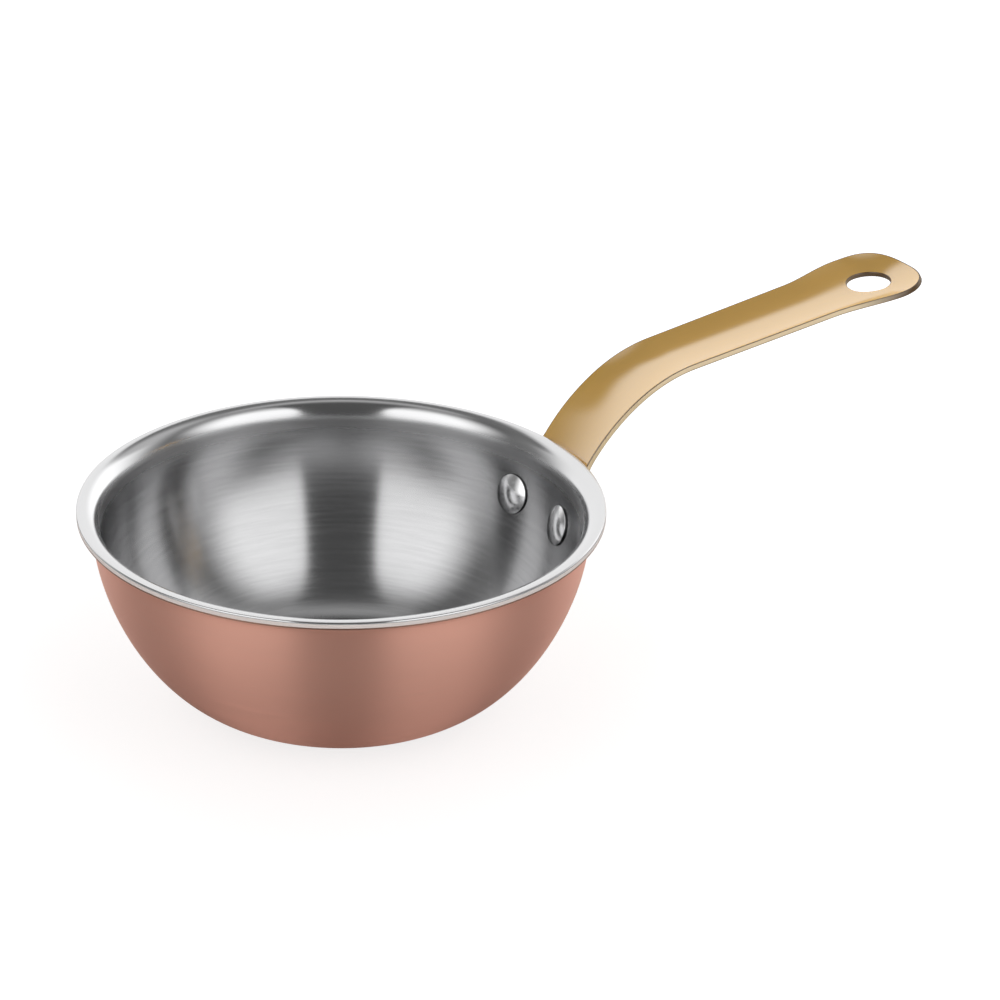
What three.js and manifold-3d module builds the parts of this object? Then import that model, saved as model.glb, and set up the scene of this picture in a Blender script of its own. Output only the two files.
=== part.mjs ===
// Small copper-clad wok: a bowl of three bonded plies with a flared pouring lip, and a hollow brass strap
// handle on two rivets. Millimetres, +Z up. The origin is the centre of the base's underside, and the
// handle runs along +X.
import * as THREE from 'three';
import { mergeVertices } from 'three/addons/utils/BufferGeometryUtils.js';
import Module from 'manifold-3d';

// Bowl, measured on its copper outside
const RIM_DIAMETER = 140;
const BOWL_HEIGHT = 55;
const BASE_DIAMETER = 58;
const BASE_PULL = 21;
const WALL_PULL = 20;
const LIP_FLARE_RADIUS = 3;
const LIP_FLAT = 1;

// Plies of the bowl's sheet, outside to inside
const COPPER_PLY = 0.5;
const ALUMINIUM_PLY = 1;
const STEEL_PLY = 0.5;

// Handle: a flat blank that is wrapped round the bowl, bent up past the lip and pressed hollow on top
const HANDLE_SHEET = 1.5;
const HANDLE_EDGE_BREAK = 0.35;
const SEAT_GAP = 0.3;
const LIP_CLEARANCE = 0.5;
const KICK_RADIUS = 12;
const RISE_ANGLE = THREE.MathUtils.degToRad(55.2);
const BEND_RADIUS = 47.4;
const GRIP_ANGLE = THREE.MathUtils.degToRad(7.5);
const GRIP_LENGTH = 67.5;
const ROOT_WIDTH = 22.7;
const GRIP_WIDTH = 24.6;
const TROUGH_RADIUS = 39;

// Eye at the handle's end: it swells from the grip, dips and turns up to a blunt round tip
const EYE_WIDTH = 29.9;
const EYE_SWELL = 21;
const EYE_TO_TIP = 13.1;
const EYE_BLUNTNESS = 2.6;
const EYE_DIP_RADIUS = 580;
const EYE_UPTURN_RADIUS = 31.5;
const EYE_DISH_RADIUS = 50;
const HANG_HOLE_DIAMETER = 12.3;

// Flange of the handle and its two rivets
const RIVET_SPACING = 24;
const RIVET_SETBACK = 6.4;
const FLANGE_BELOW_RIVETS = 8.5;
const FLANGE_BESIDE_RIVETS = 6.5;
const FLANGE_ROUNDING = 7;
const SHANK_DIAMETER = 5;
const SHANK_CLEARANCE = 0.3;
const HEAD_DIAMETER = 11;
const HEAD_HEIGHT = 1.6;
const HEAD_RIM = 0.5;
const SHOP_HEAD_DIAMETER = 8.4;
const SHOP_HEAD_HEIGHT = 1.5;

// Finishes
const COPPER = { color: 0xb5765f, roughness: 0.3, metalness: 1 };
const ALUMINIUM = { color: 0xd5d6d8, roughness: 0.4, metalness: 1 };
const STEEL = { color: 0xb9babc, roughness: 0.35, metalness: 1 };
const BRASS = { color: 0xc79b52, roughness: 0.3, metalness: 1 };
const RIVET_STEEL = { color: 0xc9cacc, roughness: 0.25, metalness: 1 };

// Facets of the turned and drilled shapes
const TURN_STEPS = 48;
const WALL_STEPS = 8;
const LIP_STEPS = 3;
const RIVET_TURN_STEPS = 20;
const DOME_STEPS = 5;
const HANG_HOLE_STEPS = 40;

// Facets of the handle's blank, across it and along each of its stretches
const BLANK_STEPS_ACROSS = 8;
const FLANGE_END_STEPS = 5;
const FLANGE_STEPS = 3;
const KICK_STEPS = 3;
const RISER_STEPS = 3;
const BEND_STEPS = 11;
const GRIP_STEPS = 5;
const SWELL_STEPS = 5;
const EYE_STEPS = 8;

// Fineness of the sums: the length over which a slope is taken, and how often a range is halved
const SLOPE_STEP = 0.01;
const HALVINGS = 40;

const wasm = await Module();
wasm.setup();

const RIM_RADIUS = RIM_DIAMETER / 2;
const WALL_RADIUS = RIM_RADIUS - LIP_FLAT - LIP_FLARE_RADIUS;
const BOWL_SHEET = COPPER_PLY + ALUMINIUM_PLY + STEEL_PLY;
const LIP_UNDERSIDE = BOWL_HEIGHT - BOWL_SHEET;
const WALL_TOP = LIP_UNDERSIDE - LIP_FLARE_RADIUS;

// Turns a closed geometry into a solid that can be cut.
function toSolid(geometry) {
  const bare = geometry.clone();
  bare.deleteAttribute('normal');
  bare.deleteAttribute('uv');
  const merged = mergeVertices(bare);
  return new wasm.Manifold(new wasm.Mesh({
    numProp: 3,
    vertProperties: new Float32Array(merged.attributes.position.array),
    triVerts: new Uint32Array(merged.index.array),
  }));
}

function toGeometry(solid) {
  const mesh = solid.getMesh();
  const geometry = new THREE.BufferGeometry();
  geometry.setAttribute('position', new THREE.BufferAttribute(mesh.vertProperties, 3));
  geometry.setIndex(new THREE.BufferAttribute(mesh.triVerts, 1));
  geometry.computeVertexNormals();
  return geometry;
}

// Revolves a profile of radius and height about Z.
function turned(profile, steps) {
  return new THREE.LatheGeometry(profile, steps).rotateX(Math.PI / 2);
}

// A plane curve moved sideways: positive distances go to the left of its direction.
class ParallelCurve extends THREE.Curve {
  constructor(base, distance) {
    super();
    this.base = base;
    this.distance = distance;
  }

  getPoint(t, target = new THREE.Vector2()) {
    const tangent = this.base.getTangent(t);
    const normal = new THREE.Vector2(-tangent.y, tangent.x);
    return target.copy(this.base.getPoint(t)).addScaledVector(normal, this.distance);
  }
}

// The bowl's outside, from the edge of the flat base, round the belly and up to the upright wall top.
const wallCurve = new THREE.CubicBezierCurve(
  new THREE.Vector2(BASE_DIAMETER / 2, 0),
  new THREE.Vector2(BASE_DIAMETER / 2 + BASE_PULL, 0),
  new THREE.Vector2(WALL_RADIUS, WALL_TOP - WALL_PULL),
  new THREE.Vector2(WALL_RADIUS, WALL_TOP),
);

// One face of the bowl's sheet, a given depth in from the copper: base, belly, flare and flat lip.
function bowlFace(depth) {
  const belly = new ParallelCurve(wallCurve, depth).getPoints(WALL_STEPS);
  const flare = new THREE.EllipseCurve(
    WALL_RADIUS + LIP_FLARE_RADIUS,
    WALL_TOP,
    LIP_FLARE_RADIUS + depth,
    LIP_FLARE_RADIUS + depth,
    Math.PI,
    Math.PI / 2,
    true,
  ).getPoints(LIP_STEPS);
  return [
    new THREE.Vector2(0, depth),
    ...belly,
    ...flare.slice(1),
    new THREE.Vector2(RIM_RADIUS, LIP_UNDERSIDE + depth),
  ];
}

// One ply of the bowl between two depths.
function ply(outerDepth, innerDepth) {
  return toSolid(turned([...bowlFace(outerDepth), ...bowlFace(innerDepth).reverse()], TURN_STEPS));
}

// The handle's inner face follows the bowl at a small gap until it kicks out to pass the lip.
const seatCurve = new ParallelCurve(wallCurve, -SEAT_GAP);
const seatLength = seatCurve.getLength();

// The next point of a plane path that starts at a place and angle and bends down on a radius, or up on a
// negative one.
function advance({ x, z, angle }, length, radius) {
  if (radius === Infinity) {
    return { x: x + length * Math.cos(angle), z: z + length * Math.sin(angle), angle };
  }
  const turn = angle - length / radius;
  return {
    x: x + radius * (Math.sin(angle) - Math.sin(turn)),
    z: z + radius * (Math.cos(turn) - Math.cos(angle)),
    angle: turn,
  };
}

function onSeat(length) {
  const point = seatCurve.getPointAt(length / seatLength);
  const tangent = seatCurve.getTangentAt(length / seatLength);
  return { x: point.x, z: point.y, angle: Math.atan2(tangent.y, tangent.x) };
}

function kickLength(start) {
  return KICK_RADIUS * (start.angle - RISE_ANGLE);
}

// How far the riser that follows a kick would lie outside the lip's lower corner.
function lipGap(seatedLength) {
  const start = onSeat(seatedLength);
  const riser = advance(start, kickLength(start), KICK_RADIUS);
  const outward = (riser.x - RIM_RADIUS) * Math.sin(RISE_ANGLE);
  return outward - (riser.z - LIP_UNDERSIDE) * Math.cos(RISE_ANGLE);
}

// The length of seat up to the kick is halved down on, as the lip's gap shrinks steadily up the wall.
function findSeatedLength() {
  let low = 0;
  let high = seatLength;
  for (let i = 0; i < HALVINGS; i += 1) {
    const middle = (low + high) / 2;
    if (lipGap(middle) > LIP_CLEARANCE) {
      low = middle;
    } else {
      high = middle;
    }
  }
  return low;
}

const seatedLength = findSeatedLength();
const rivetSeat = seatedLength - RIVET_SETBACK;
const flangeBottom = rivetSeat - FLANGE_BELOW_RIVETS;

// Stations along the blank, from the flange's lower end: s is length along the handle's inner face.
const rivetAt = FLANGE_BELOW_RIVETS;
const kickAt = rivetAt + RIVET_SETBACK;
const kickStart = onSeat(seatedLength);
const riserAt = kickAt + kickLength(kickStart);
const riserStart = advance(kickStart, kickLength(kickStart), KICK_RADIUS);
const bendAt = riserAt + (BOWL_HEIGHT - riserStart.z) / Math.sin(RISE_ANGLE);
const bendStart = advance(riserStart, bendAt - riserAt, Infinity);
const gripAt = bendAt + BEND_RADIUS * (RISE_ANGLE - GRIP_ANGLE);
const gripStart = advance(bendStart, gripAt - bendAt, BEND_RADIUS);
const eyeAt = gripAt + GRIP_LENGTH;
const swellAt = eyeAt - EYE_SWELL;
const swellStart = advance(gripStart, swellAt - gripAt, Infinity);
const eyeStart = advance(swellStart, EYE_SWELL, EYE_DIP_RADIUS);
const tipAt = eyeAt + EYE_TO_TIP;

// Place and slope of the handle's middle line.
function spine(s) {
  if (s < kickAt) {
    return onSeat(flangeBottom + s);
  }
  if (s < riserAt) {
    return advance(kickStart, s - kickAt, KICK_RADIUS);
  }
  if (s < bendAt) {
    return advance(riserStart, s - riserAt, Infinity);
  }
  if (s < gripAt) {
    return advance(bendStart, s - bendAt, BEND_RADIUS);
  }
  if (s < swellAt) {
    return advance(gripStart, s - gripAt, Infinity);
  }
  if (s < eyeAt) {
    return advance(swellStart, s - swellAt, EYE_DIP_RADIUS);
  }
  return advance(eyeStart, s - eyeAt, -EYE_UPTURN_RADIUS);
}

// A point on the handle's inner and upper face, v across the blank. Up to the bend the section is a circle
// round the bowl's axis; along the bend it becomes a trough square to the spine, shallower at the eye.
function face(s, v) {
  const { x, z, angle } = spine(s);
  const wrap = 1 - THREE.MathUtils.smoothstep(s, bendAt, gripAt);
  const eye = THREE.MathUtils.smoothstep(s, swellAt, eyeAt);
  const trough = THREE.MathUtils.lerp(1 / TROUGH_RADIUS, 1 / EYE_DISH_RADIUS, eye);
  const curvature = THREE.MathUtils.lerp(trough, 1 / x, wrap);
  const hollow = new THREE.Vector2(-Math.sin(angle), Math.cos(angle));
  hollow.lerp(new THREE.Vector2(-1, 0), wrap).normalize();
  const rise = (1 - Math.cos(v * curvature)) / curvature;
  return new THREE.Vector3(x + hollow.x * rise, Math.sin(v * curvature) / curvature, z + hollow.y * rise);
}

// A point of the pressed blank, a depth below its upper face.
function pressed(s, v, depth) {
  const along = face(s + SLOPE_STEP, v).sub(face(s - SLOPE_STEP, v));
  const across = face(s, v + SLOPE_STEP).sub(face(s, v - SLOPE_STEP));
  return face(s, v).addScaledVector(along.cross(across).normalize(), -depth);
}

// Half the blank's width: an oval lower end, shoulders that narrow to the strap, and a blunt eye.
function halfWidth(s) {
  const flange = RIVET_SPACING / 2 + FLANGE_BESIDE_RIVETS;
  if (s < FLANGE_ROUNDING) {
    return flange * Math.sqrt(1 - (1 - s / FLANGE_ROUNDING) ** 2);
  }
  if (s > eyeAt) {
    const share = Math.min((s - eyeAt) / EYE_TO_TIP, 1);
    return (EYE_WIDTH / 2) * (1 - share ** EYE_BLUNTNESS) ** (1 / EYE_BLUNTNESS);
  }
  const strap = THREE.MathUtils.mapLinear(Math.max(s, gripAt), gripAt, eyeAt, ROOT_WIDTH, GRIP_WIDTH) / 2;
  const shoulder = THREE.MathUtils.smoothstep(s, rivetAt, bendAt);
  const swell = THREE.MathUtils.smoothstep(s, swellAt, eyeAt);
  return THREE.MathUtils.lerp(THREE.MathUtils.lerp(flange, strap, shoulder), EYE_WIDTH / 2, swell);
}

// Stations between two lengths, even, or crowded towards a round end.
function evenly(from, to, steps) {
  return Array.from({ length: steps }, (_, i) => from + (to - from) * (i / steps));
}

function crowdedToStart(from, to, steps) {
  return evenly(0, Math.PI / 2, steps).map((turn) => to + (from - to) * Math.cos(turn));
}

function crowdedToEnd(from, to, steps) {
  return evenly(0, Math.PI / 2, steps).map((turn) => from + (to - from) * Math.sin(turn));
}

const stations = [
  ...crowdedToStart(0, FLANGE_ROUNDING, FLANGE_END_STEPS),
  ...evenly(FLANGE_ROUNDING, kickAt, FLANGE_STEPS),
  ...evenly(kickAt, riserAt, KICK_STEPS),
  ...evenly(riserAt, bendAt, RISER_STEPS),
  ...evenly(bendAt, gripAt, BEND_STEPS),
  ...evenly(gripAt, swellAt, GRIP_STEPS),
  ...evenly(swellAt, eyeAt, SWELL_STEPS),
  ...crowdedToEnd(eyeAt, tipAt, EYE_STEPS),
  tipAt,
];

// The blank's outline on one side, and the same outline drawn in by the broken edge.
const outline = stations.map((s) => new THREE.Vector2(s, halfWidth(s)));

function drawnIn(point, i) {
  const mirror = ({ x, y }) => new THREE.Vector2(x, -y);
  const before = outline[i - 1] ?? mirror(outline[1]);
  const after = outline[i + 1] ?? mirror(outline[i - 1]);
  const along = after.clone().sub(before).normalize();
  return new THREE.Vector2(point.x + along.y * HANDLE_EDGE_BREAK, point.y - along.x * HANDLE_EDGE_BREAK);
}

// One closed ring round the blank: across the upper face, down one side, back below and up the other side.
function blankRing(point, i) {
  const inner = drawnIn(point, i);
  const reach = Math.max(inner.y, 0);
  const rows = evenly(-1, 1, BLANK_STEPS_ACROSS).concat(1);
  return [
    ...rows.map((row) => pressed(inner.x, row * reach, 0)),
    pressed(point.x, point.y, HANDLE_EDGE_BREAK),
    pressed(point.x, point.y, HANDLE_SHEET - HANDLE_EDGE_BREAK),
    ...rows.map((row) => pressed(inner.x, -row * reach, HANDLE_SHEET)),
    pressed(point.x, -point.y, HANDLE_SHEET - HANDLE_EDGE_BREAK),
    pressed(point.x, -point.y, HANDLE_EDGE_BREAK),
  ];
}

// Joins equal rings with quads. The first and last ring fold flat, which closes the ends.
function loft(rings) {
  const count = rings[0].length;
  const index = [];
  for (let i = 0; i < rings.length - 1; i += 1) {
    for (let j = 0; j < count; j += 1) {
      const here = i * count + j;
      const next = i * count + ((j + 1) % count);
      index.push(here, here + count, next);
      index.push(next, here + count, next + count);
    }
  }
  return new THREE.BufferGeometry().setFromPoints(rings.flat()).setIndex(index);
}

// A rivet stands square to the wall. Its own frame has the copper's face at y 0 and +Y outwards.
function rivetFrame(side) {
  const { x, z, angle } = onSeat(rivetSeat);
  const bearing = side * Math.asin(RIVET_SPACING / 2 / x);
  const outward = new THREE.Vector3(
    Math.sin(angle) * Math.cos(bearing),
    Math.sin(angle) * Math.sin(bearing),
    -Math.cos(angle),
  );
  const frame = new THREE.Object3D();
  frame.quaternion.setFromUnitVectors(new THREE.Vector3(0, 1, 0), outward);
  frame.position.set(x * Math.cos(bearing), x * Math.sin(bearing), z).addScaledVector(outward, -SEAT_GAP);
  frame.updateMatrix();
  return frame;
}

// A quarter of an oval, from a point on the axis out to a rim, or back in.
function dome(radius, height, base, from, to) {
  return new THREE.EllipseCurve(0, base, radius, height, from, to).getPoints(DOME_STEPS);
}

// Rivet profile: domed head inside the bowl, shank through plies and flange, low head closed outside. The
// head clears the hollow wall, which curves in under its rim.
function rivetGeometry() {
  const headRadius = HEAD_DIAMETER / 2;
  const innerWall = onSeat(rivetSeat).x - SEAT_GAP - BOWL_SHEET;
  const wallSag = innerWall - Math.sqrt(innerWall ** 2 - headRadius ** 2);
  const facetSag = innerWall * (1 - Math.cos(Math.PI / TURN_STEPS));
  const underHead = -BOWL_SHEET - SEAT_GAP - wallSag - facetSag;
  const shopSeat = SEAT_GAP + HANDLE_SHEET + SEAT_GAP;
  const shank = SHANK_DIAMETER / 2;
  const profile = [
    ...dome(headRadius, HEAD_HEIGHT - HEAD_RIM, underHead - HEAD_RIM, -Math.PI / 2, 0),
    new THREE.Vector2(headRadius, underHead),
    new THREE.Vector2(shank, underHead),
    new THREE.Vector2(shank, shopSeat),
    ...dome(SHOP_HEAD_DIAMETER / 2, SHOP_HEAD_HEIGHT, shopSeat, 0, Math.PI / 2),
  ];
  return new THREE.LatheGeometry(profile, RIVET_TURN_STEPS);
}

// The drilled hole that a rivet passes through, long enough for plies and flange.
function rivetHole(frame) {
  const radius = SHANK_DIAMETER / 2 + SHANK_CLEARANCE;
  const grip = BOWL_SHEET + SEAT_GAP + HANDLE_SHEET;
  const drill = new THREE.CylinderGeometry(radius, radius, 4 * grip, RIVET_TURN_STEPS);
  return toSolid(drill.applyMatrix4(frame.matrix));
}

// The hang hole, punched square to the middle of the eye.
function hangHole() {
  const { x, z, angle } = eyeStart;
  const radius = HANG_HOLE_DIAMETER / 2;
  const punch = new THREE.CylinderGeometry(radius, radius, EYE_WIDTH, HANG_HOLE_STEPS);
  punch.rotateX(Math.PI / 2).rotateY(-angle).translate(x, 0, z);
  return toSolid(punch);
}

const rivetFrames = { rivet_left: rivetFrame(1), rivet_right: rivetFrame(-1) };
const rivetHoles = Object.values(rivetFrames).map(rivetHole);

function drilled(solid) {
  return rivetHoles.reduce((left, hole) => left.subtract(hole), solid);
}

function named(name, geometry, finish) {
  const mesh = new THREE.Mesh(geometry, new THREE.MeshStandardMaterial(finish));
  mesh.name = name;
  return mesh;
}

const wok = new THREE.Group();

// The three plies lie face to face, as roll-bonded sheet does.
const coreDepth = COPPER_PLY;
const linerDepth = COPPER_PLY + ALUMINIUM_PLY;
wok.add(named('copper_shell', toGeometry(drilled(ply(0, coreDepth))), COPPER));
wok.add(named('aluminium_core', toGeometry(drilled(ply(coreDepth, linerDepth))), ALUMINIUM));
wok.add(named('steel_liner', toGeometry(drilled(ply(linerDepth, BOWL_SHEET))), STEEL));

const strap = drilled(toSolid(loft(outline.map(blankRing)))).subtract(hangHole());
wok.add(named('handle', toGeometry(strap), BRASS));

Object.entries(rivetFrames).forEach(([name, frame]) => {
  const rivet = named(name, rivetGeometry(), RIVET_STEEL);
  rivet.position.copy(frame.position);
  rivet.quaternion.copy(frame.quaternion);
  wok.add(rivet);
});

export default wok;
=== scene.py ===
"""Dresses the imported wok: fine surfaces, brushed metals, a pale floor and soft studio light."""
import math

import bmesh
import bpy
import numpy as np
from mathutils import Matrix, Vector


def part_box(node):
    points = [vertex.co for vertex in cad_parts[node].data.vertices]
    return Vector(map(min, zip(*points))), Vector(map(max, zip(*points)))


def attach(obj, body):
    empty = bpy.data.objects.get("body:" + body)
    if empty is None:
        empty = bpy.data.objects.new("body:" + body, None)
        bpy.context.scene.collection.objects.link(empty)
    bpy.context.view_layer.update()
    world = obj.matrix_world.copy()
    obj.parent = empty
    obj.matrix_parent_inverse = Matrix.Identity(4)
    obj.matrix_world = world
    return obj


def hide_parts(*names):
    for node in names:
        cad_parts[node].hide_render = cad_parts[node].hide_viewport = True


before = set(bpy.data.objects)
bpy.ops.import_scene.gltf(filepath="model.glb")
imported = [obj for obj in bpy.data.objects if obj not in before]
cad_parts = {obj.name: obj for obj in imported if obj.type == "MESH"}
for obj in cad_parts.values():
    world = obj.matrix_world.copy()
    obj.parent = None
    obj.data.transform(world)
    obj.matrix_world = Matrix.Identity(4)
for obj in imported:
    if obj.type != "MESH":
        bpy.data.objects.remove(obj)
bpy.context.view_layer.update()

# Camera: a long lens that looks down on the wok from its front left, aimed at the middle of the rim.
# The picture is square, and the shift leaves room on the right for the handle.
MM = 0.001
LOOK_AZIMUTH = math.radians(-29.5)
LOOK_ELEVATION = math.radians(25.4)
LOOK_DISTANCE = 900 * MM
PICTURE_WIDTHS_PER_DISTANCE = 3.402
RIM_CENTRE_LEFT_OF_MIDDLE = 0.1588
RIM_CENTRE_BELOW_MIDDLE = 0.0013


def direction(azimuth, elevation):
    """The unit vector from the wok towards a place: azimuth 0 is -Y and 90 degrees is +X."""
    flat = math.cos(elevation)
    return Vector((math.sin(azimuth) * flat, -math.cos(azimuth) * flat, math.sin(elevation)))


rim_centre = Vector((0, 0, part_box("steel_liner")[1].z))
camera_data = bpy.data.cameras.new("camera")
camera = bpy.data.objects.new("camera", camera_data)
bpy.context.scene.collection.objects.link(camera)
camera_data.lens = PICTURE_WIDTHS_PER_DISTANCE * camera_data.sensor_width
camera_data.shift_x = RIM_CENTRE_LEFT_OF_MIDDLE
camera_data.shift_y = RIM_CENTRE_BELOW_MIDDLE
to_camera = direction(LOOK_AZIMUTH, LOOK_ELEVATION)
camera.location = rim_centre + to_camera * LOOK_DISTANCE
camera.rotation_euler = to_camera.to_track_quat("Z", "Y").to_euler()
bpy.context.scene.camera = camera

# Studio: a white floor that runs out of the picture, two bright panels that lean in from the sides and leave
# a dark slot between them for the camera, and a white sweep behind the wok under a dimmer ceiling.
# A pair of values is where a soft edge starts and ends, as a share of the direction.
FLOOR_SIDES = 64
FLOOR_REACH = 4.0
FLOOR_DROP = 0.1 * MM
FLOOR_WHITE = 0.7
# Painted shadow: the floor's paper is darker close to the wok, out to the reach below.
FLOOR_PAINTED_SHADOW_WHITE = 0.36
FLOOR_PAINTED_SHADOW_REACH = (0.05, 0.2)
FLOOR_GLOW = 0.78
FLOOR_GLOW_IN_METAL = 0.06
PANEL_RADIANCE = 1.34
PANEL_LEAN = 0.5
PANEL_BACK_EDGE = (0.2, 0.7)
PANEL_TOP = (0.82, 1.0)
PANEL_TOP_SHARE = 0.4
SIDE_EDGE = (0.5, 0.9)
SIDE_RADIANCE = 0.1
SLOT_HALF_WIDTH = 0.365
SLOT_LEAN = 0.1
SLOT_SOFTNESS = 0.03
CEILING_EDGE = (0.0, 0.42)
CEILING_RADIANCE = 0.09
CEILING_HIGH = (0.86, 0.92)
CEILING_RIGHT = (0.15, 0.45)
CEILING_HIGH_RADIANCE = 0.5
SWEEP_EDGE = (0.2, 0.75)
SWEEP_RADIANCE = 1.04
SWEEP_TOP = math.radians(32)
SWEEP_FADE = math.radians(7)
SWEEP_RISE_EDGE = (-0.05, 0.25)
SWEEP_FALL_EDGE = (0.35, 0.7)
SWEEP_RISE = 0.14
ROOM_RADIANCE = 0.105
JUST_OVER_ONE = 1.0001


def new_node(tree, kind, **settings):
    """A node of a kind, with its settings."""
    node = tree.nodes.new(kind)
    for name, value in settings.items():
        setattr(node, name, value)
    return node


def feed(tree, socket, value):
    """Links a socket to another node's output, or sets it to a plain value."""
    if isinstance(value, bpy.types.NodeSocket):
        tree.links.new(value, socket)
    else:
        socket.default_value = value


def maths(tree, operation, a, b=0.0):
    """One sum of two values."""
    node = new_node(tree, "ShaderNodeMath", operation=operation)
    feed(tree, node.inputs[0], a)
    feed(tree, node.inputs[1], b)
    return node.outputs[0]


def vector_maths(tree, operation, a, b=(0, 0, 0)):
    """One sum of two vectors. A dot product and a length come out as values."""
    node = new_node(tree, "ShaderNodeVectorMath", operation=operation)
    feed(tree, node.inputs[0], a)
    feed(tree, node.inputs[1], b)
    return node.outputs["Value" if operation in ("DOT_PRODUCT", "LENGTH") else "Vector"]


def ramp(tree, value, low, high, out_low, out_high):
    """Moves a value from one range to another, with soft ends."""
    node = new_node(tree, "ShaderNodeMapRange", interpolation_type="SMOOTHSTEP")
    for socket, given in zip(node.inputs, (value, low, high, out_low, out_high)):
        feed(tree, socket, given)
    return node.outputs[0]


def object_place(tree):
    """The place on the object, in metres."""
    return new_node(tree, "ShaderNodeTexCoord").outputs["Object"]


def panel_light(tree, front, side, height):
    """Two panels in front, bright outside a slot: the sideways share over the rest, plus a lean with height,
    is more than the slot's half width. They end at the back and are dimmer on top. Both sides glow a
    little."""
    rest = maths(tree, "SQRT", maths(tree, "SUBTRACT", JUST_OVER_ONE, maths(tree, "MULTIPLY", side, side)))
    lean = maths(tree, "MULTIPLY", height, SLOT_LEAN)
    spread = maths(tree, "ADD", maths(tree, "DIVIDE", side, rest), lean)
    slot_edge = (SLOT_HALF_WIDTH - SLOT_SOFTNESS, SLOT_HALF_WIDTH + SLOT_SOFTNESS)
    beside_slot = ramp(tree, spread, *slot_edge, 0.0, PANEL_RADIANCE)
    reach = maths(tree, "ADD", front, maths(tree, "MULTIPLY", height, PANEL_LEAN))
    shade = ramp(tree, height, *PANEL_TOP, 1.0, PANEL_TOP_SHARE)
    extent = maths(tree, "MULTIPLY", shade, ramp(tree, reach, *PANEL_BACK_EDGE, 0.0, 1.0))
    panels = maths(tree, "MULTIPLY", beside_slot, extent)
    return maths(tree, "ADD", panels, ramp(tree, side, *SIDE_EDGE, 0.0, SIDE_RADIANCE))


def back_light(tree, front, left, height):
    """A white sweep behind, whose top is higher on the left, and a ceiling that is dark just above the sweep
    and brighter overhead and on the right."""
    behind = maths(tree, "MULTIPLY", front, -1.0)
    rise = maths(tree, "MULTIPLY", ramp(tree, left, *SWEEP_RISE_EDGE, 0.0, SWEEP_RISE),
                 ramp(tree, left, *SWEEP_FALL_EDGE, 1.0, 0.0))
    level = maths(tree, "SUBTRACT", height, rise)
    low = ramp(tree, level, math.sin(SWEEP_TOP), math.sin(SWEEP_TOP + SWEEP_FADE),
               SWEEP_RADIANCE - CEILING_RADIANCE, 0.0)
    sweep = maths(tree, "MULTIPLY", ramp(tree, behind, *SWEEP_EDGE, 0.0, 1.0), low)
    right = maths(tree, "MULTIPLY", left, -1.0)
    overhead = ramp(tree, height, *CEILING_HIGH, CEILING_RADIANCE, CEILING_HIGH_RADIANCE)
    on_right = ramp(tree, right, *CEILING_RIGHT, CEILING_RADIANCE, CEILING_HIGH_RADIANCE)
    bright = maths(tree, "MAXIMUM", overhead, on_right)
    ceiling = maths(tree, "MULTIPLY", ramp(tree, behind, *CEILING_EDGE, 0.0, 1.0), bright)
    return maths(tree, "ADD", sweep, ceiling)


def studio_world():
    """White for the camera. Other rays see, by their direction, the panels in front, the sweep and ceiling
    behind, and a dim room all round."""
    world = bpy.data.worlds.new("studio")
    world.use_nodes = True
    tree = world.node_tree
    background = tree.nodes["Background"]
    ray = new_node(tree, "ShaderNodeTexCoord").outputs["Generated"]
    towards = direction(LOOK_AZIMUTH, 0)
    front = vector_maths(tree, "DOT_PRODUCT", ray, towards)
    left = vector_maths(tree, "DOT_PRODUCT", ray, (towards.y, -towards.x, 0))
    side = maths(tree, "ABSOLUTE", left)
    height = vector_maths(tree, "DOT_PRODUCT", ray, (0, 0, 1))
    panels = panel_light(tree, front, side, height)
    back = back_light(tree, front, left, height)
    radiance = maths(tree, "ADD", maths(tree, "ADD", panels, back), ROOM_RADIANCE)
    camera_ray = new_node(tree, "ShaderNodeLightPath").outputs["Is Camera Ray"]
    tree.links.new(maths(tree, "MAXIMUM", camera_ray, radiance), background.inputs["Strength"])
    background.inputs["Color"].default_value = (1, 1, 1, 1)
    bpy.context.scene.world = world


def white_floor():
    """A plain white disc of floor, with a painted shadow: its paper is darker close to the wok. A glow on top
    of its paper makes it white to the camera, and less so in metal, and the wok's shadow stays in the paper."""
    turn = np.linspace(0, 2 * np.pi, FLOOR_SIDES, endpoint=False)
    rim = np.stack([
        FLOOR_REACH * np.cos(turn),
        FLOOR_REACH * np.sin(turn),
        np.full_like(turn, -FLOOR_DROP),
    ], axis=1)
    mesh = bpy.data.meshes.new("floor")
    mesh.from_pydata(rim.tolist(), [], [list(range(len(rim)))])
    floor = bpy.data.objects.new("floor", mesh)
    bpy.context.scene.collection.objects.link(floor)
    material = bpy.data.materials.new("white_paper")
    material.use_nodes = True
    tree = material.node_tree
    tree.nodes.clear()
    paper = new_node(tree, "ShaderNodeBsdfDiffuse")
    distance = vector_maths(tree, "LENGTH", object_place(tree))
    # Painted shadow: the paper's colour is darker close to the wok.
    tree.links.new(ramp(tree, distance, *FLOOR_PAINTED_SHADOW_REACH, FLOOR_PAINTED_SHADOW_WHITE, FLOOR_WHITE), paper.inputs["Color"])
    glow = new_node(tree, "ShaderNodeEmission")
    path = new_node(tree, "ShaderNodeLightPath")
    mirrored = maths(tree, "MAXIMUM", path.outputs["Is Glossy Ray"], path.outputs["Is Transmission Ray"])
    share = maths(tree, "MAXIMUM", maths(tree, "MULTIPLY", path.outputs["Is Camera Ray"], FLOOR_GLOW),
                  maths(tree, "MULTIPLY", mirrored, FLOOR_GLOW_IN_METAL))
    tree.links.new(share, glow.inputs["Strength"])
    both = new_node(tree, "ShaderNodeAddShader")
    tree.links.new(paper.outputs[0], both.inputs[0])
    tree.links.new(glow.outputs[0], both.inputs[1])
    out = new_node(tree, "ShaderNodeOutputMaterial")
    tree.links.new(both.outputs[0], out.inputs["Surface"])
    mesh.materials.append(material)


bpy.context.scene.view_settings.view_transform = "Standard"
studio_world()
white_floor()

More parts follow.
